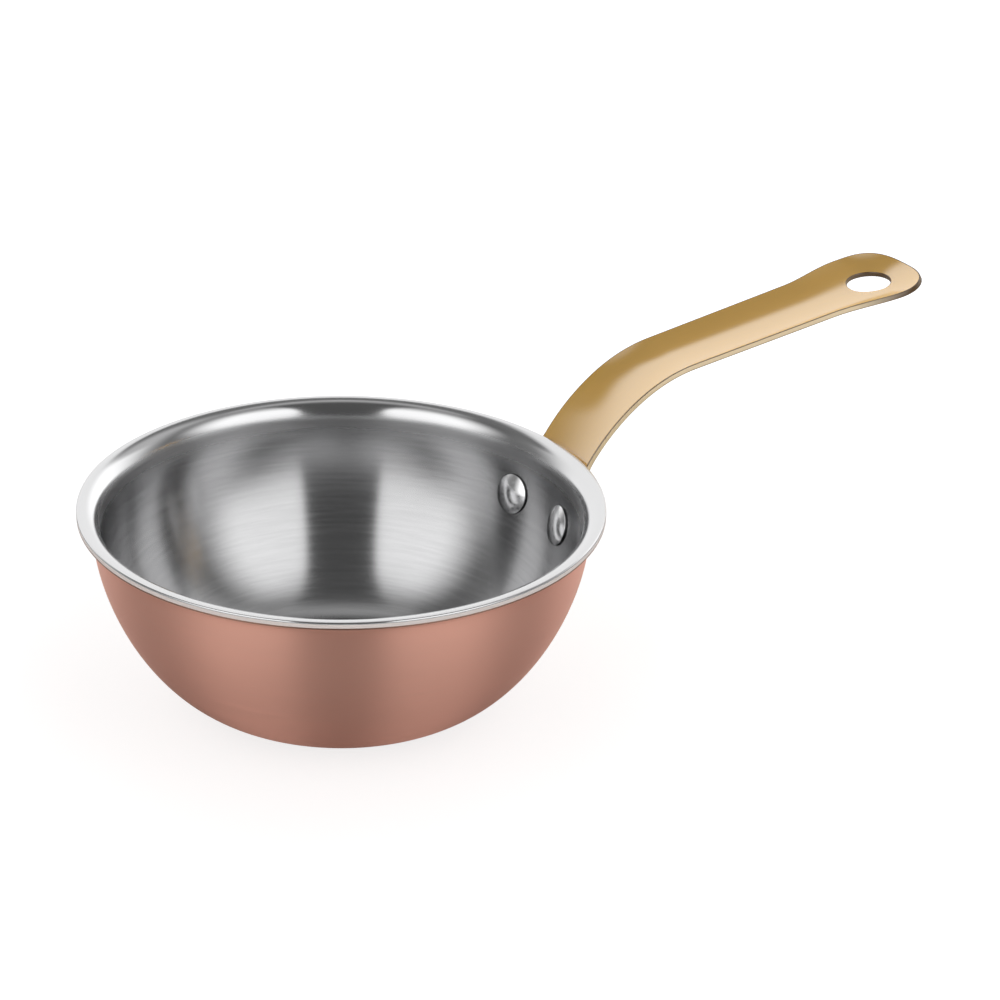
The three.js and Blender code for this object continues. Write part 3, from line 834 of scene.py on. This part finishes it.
def brass_finish():
    """Satin brass under a clear lacquer, with a fine grain along the handle. The sheared edge is nearly bare,
    with painted shade along its corners, and darker all over round the eye."""
    material, tree, shader = metal("satin_brass", BRASS_COLOUR, BRASS_EVEN_ROUGHNESS, BRASS_ANISOTROPY)
    shader.inputs["Coat IOR"].default_value = LACQUER_IOR
    shader.inputs["Coat Roughness"].default_value = LACQUER_ROUGHNESS
    uv = grain_map(tree)
    lines = vector_maths(tree, "MULTIPLY", uv, BRASS_LINES_PER_MM)
    grain = noise(tree, lines, 1.0, BRASS_GRAIN_DETAIL)
    patches = noise(tree, object_place(tree), BRASS_PATCHES_PER_METRE, PATCH_DETAIL)
    tone = ramp(tree, blended(tree, grain, patches, BRASS_GRAIN_SHARE), *BRASS_TONE_SPREAD, 0.0, 1.0)
    cut = new_node(tree, "ShaderNodeAttribute", attribute_name="cut").outputs["Fac"]
    # The cut edge is painted dark: painted shade along its corners, and darker all over round the eye.
    edge = colour_mix(tree, edge_darkening(tree, one_of(tree, uv, "X")), CUT_BRASS_COLOUR, DARK_EDGE_COLOUR)
    colour = colour_mix(tree, cut, toned(tree, tone, BRASS_COLOUR, BRASS_TONES), edge)
    tree.links.new(colour, shader.inputs["Base Color"])
    tree.links.new(ramp(tree, cut, 0.0, 1.0, 1.0, LACQUER_ON_CUT), shader.inputs["Coat Weight"])
    gloss = maths(tree, "ADD", ramp(tree, grain, *GRAIN_SPREAD, *BRASS_ROUGHNESS),
                  maths(tree, "MULTIPLY", cut, CUT_BRASS_ROUGHNESS))
    tree.links.new(gloss, shader.inputs["Roughness"])
    raise_grain(tree, shader, grain, BRASS_BUMP)
    return material


handle = mesh_piece("pressed_handle", blank_grids())
finished(handle, brass_finish(), "handle")

# Rivets: two of polished steel. The domed heads are inside the bowl, the shanks pass through the plies and
# the flange, and the low heads outside are closed on the flange.
HEAD_RADIUS = 5.5 * MM
HEAD_HEIGHT = 1.6 * MM
HEAD_SHOULDER = 0.2 * MM
HEAD_EDGE_BREAK = 0.1 * MM
CROWN_ANGLE = math.radians(22)
SHANK_RADIUS = 2.5 * MM
SHOP_HEAD_RADIUS = 4.2 * MM
SHOP_HEAD_HEIGHT = 1.5 * MM
CROWN_STEPS = 17
SHOULDER_STEPS = 13
SHOP_HEAD_STEPS = 25
RIVET_COLOUR = (0.90, 0.90, 0.905)
# Painted shade: a dark line round each rivet head's rim, where it meets the wall.
RIM_SHADE_COLOUR = (0.1, 0.1, 0.1)
RIVET_EVEN_ROUGHNESS = 0.16
RIVET_ROUGHNESS = (0.12, 0.22)
MARKS_PER_METRE = 900.0
RIM_SHADE_START_PAST_RIM = (0.0, 0.3)
RIM_SHADE_END_PAST_RIM = (2.0, 2.5)


def rivet_profile():
    """Half the rivet's section, as rows of radius and height outwards: the head's crown is a cap of a sphere
    that turns over a round shoulder, then come the shank and the low closed head."""
    seat_radius = np.interp(rivet_seat, seat_length, seat_face[:, 0]) - SEAT_GAP - BOWL_SHEET
    under_head = -BOWL_SHEET - (seat_radius - math.sqrt(seat_radius**2 - HEAD_RADIUS**2))
    shop_seat = 2 * SEAT_GAP + HANDLE_SHEET
    crown_radius = HEAD_SHOULDER + (HEAD_RADIUS - HEAD_SHOULDER) / math.sin(CROWN_ANGLE)
    over_crown = np.linspace(0, CROWN_ANGLE, CROWN_STEPS)
    over_shoulder = np.linspace(CROWN_ANGLE, np.pi / 2, SHOULDER_STEPS)[1:]
    lean = np.concatenate([over_crown, over_shoulder])
    within = np.minimum(lean, CROWN_ANGLE)
    crown = np.stack([
        (crown_radius - HEAD_SHOULDER) * np.sin(within) + HEAD_SHOULDER * np.sin(lean),
        under_head - HEAD_HEIGHT + crown_radius
        - (crown_radius - HEAD_SHOULDER) * np.cos(within) - HEAD_SHOULDER * np.cos(lean),
    ], axis=1)
    stem = np.array([
        [HEAD_RADIUS, under_head - HEAD_EDGE_BREAK],
        [HEAD_RADIUS - HEAD_EDGE_BREAK, under_head],
        [SHANK_RADIUS, under_head],
        [SHANK_RADIUS, shop_seat],
        [SHOP_HEAD_RADIUS, shop_seat],
    ])
    turn = np.linspace(0, np.pi / 2, SHOP_HEAD_STEPS)
    closed = np.stack([
        SHOP_HEAD_RADIUS * np.cos(turn),
        shop_seat + SHOP_HEAD_HEIGHT * np.sin(turn),
    ], axis=1)
    return np.concatenate([crown, stem, closed[1:]])


def rivet(name, side):
    """A rivet square to the wall: its profile is turned about Z and laid along the wall's outward normal."""
    radius = np.interp(rivet_seat, seat_length, seat_face[:, 0])
    height = np.interp(rivet_seat, seat_length, seat_face[:, 1])
    slope = np.interp(rivet_seat, seat_length, seat_slope)
    bearing = side * math.asin(RIVET_SPACING / 2 / radius)
    outward = np.array([
        math.sin(slope) * math.cos(bearing),
        math.sin(slope) * math.sin(bearing),
        -math.cos(slope),
    ])
    level = np.array([-math.sin(bearing), math.cos(bearing), 0])
    seat = np.array([radius * math.cos(bearing), radius * math.sin(bearing), height])
    points, uv, cut = turned(rivet_profile())
    points = points @ np.stack([level, np.cross(outward, level), outward]) + seat - SEAT_GAP * outward
    return mesh_piece(name, [(points, uv, cut)])


def rivet_finish():
    """Polished steel with faint marks in its gloss, and a painted shade line round the head's rim."""
    material, tree, shader = metal("polished_rivet_steel", RIVET_COLOUR, RIVET_EVEN_ROUGHNESS, 0.0)
    marks = noise(tree, object_place(tree), MARKS_PER_METRE)
    tree.links.new(ramp(tree, marks, *GRAIN_SPREAD, *RIVET_ROUGHNESS), shader.inputs["Roughness"])
    length = one_of(tree, grain_map(tree), "X")
    # Painted shade: a dark line round the head's rim, where it meets the wall.
    start = [HEAD_RADIUS / MM + past for past in RIM_SHADE_START_PAST_RIM]
    end = [HEAD_RADIUS / MM + past for past in RIM_SHADE_END_PAST_RIM]
    rim_shade = maths(tree, "MULTIPLY", ramp(tree, length, *start, 0.0, 1.0), ramp(tree, length, *end, 1.0, 0.0))
    tree.links.new(colour_mix(tree, rim_shade, RIVET_COLOUR, RIM_SHADE_COLOUR), shader.inputs["Base Color"])
    return material


rivet_steel = rivet_finish()
finished(rivet("left_rivet", 1), rivet_steel, "rivet_left")
finished(rivet("right_rivet", -1), rivet_steel, "rivet_right")
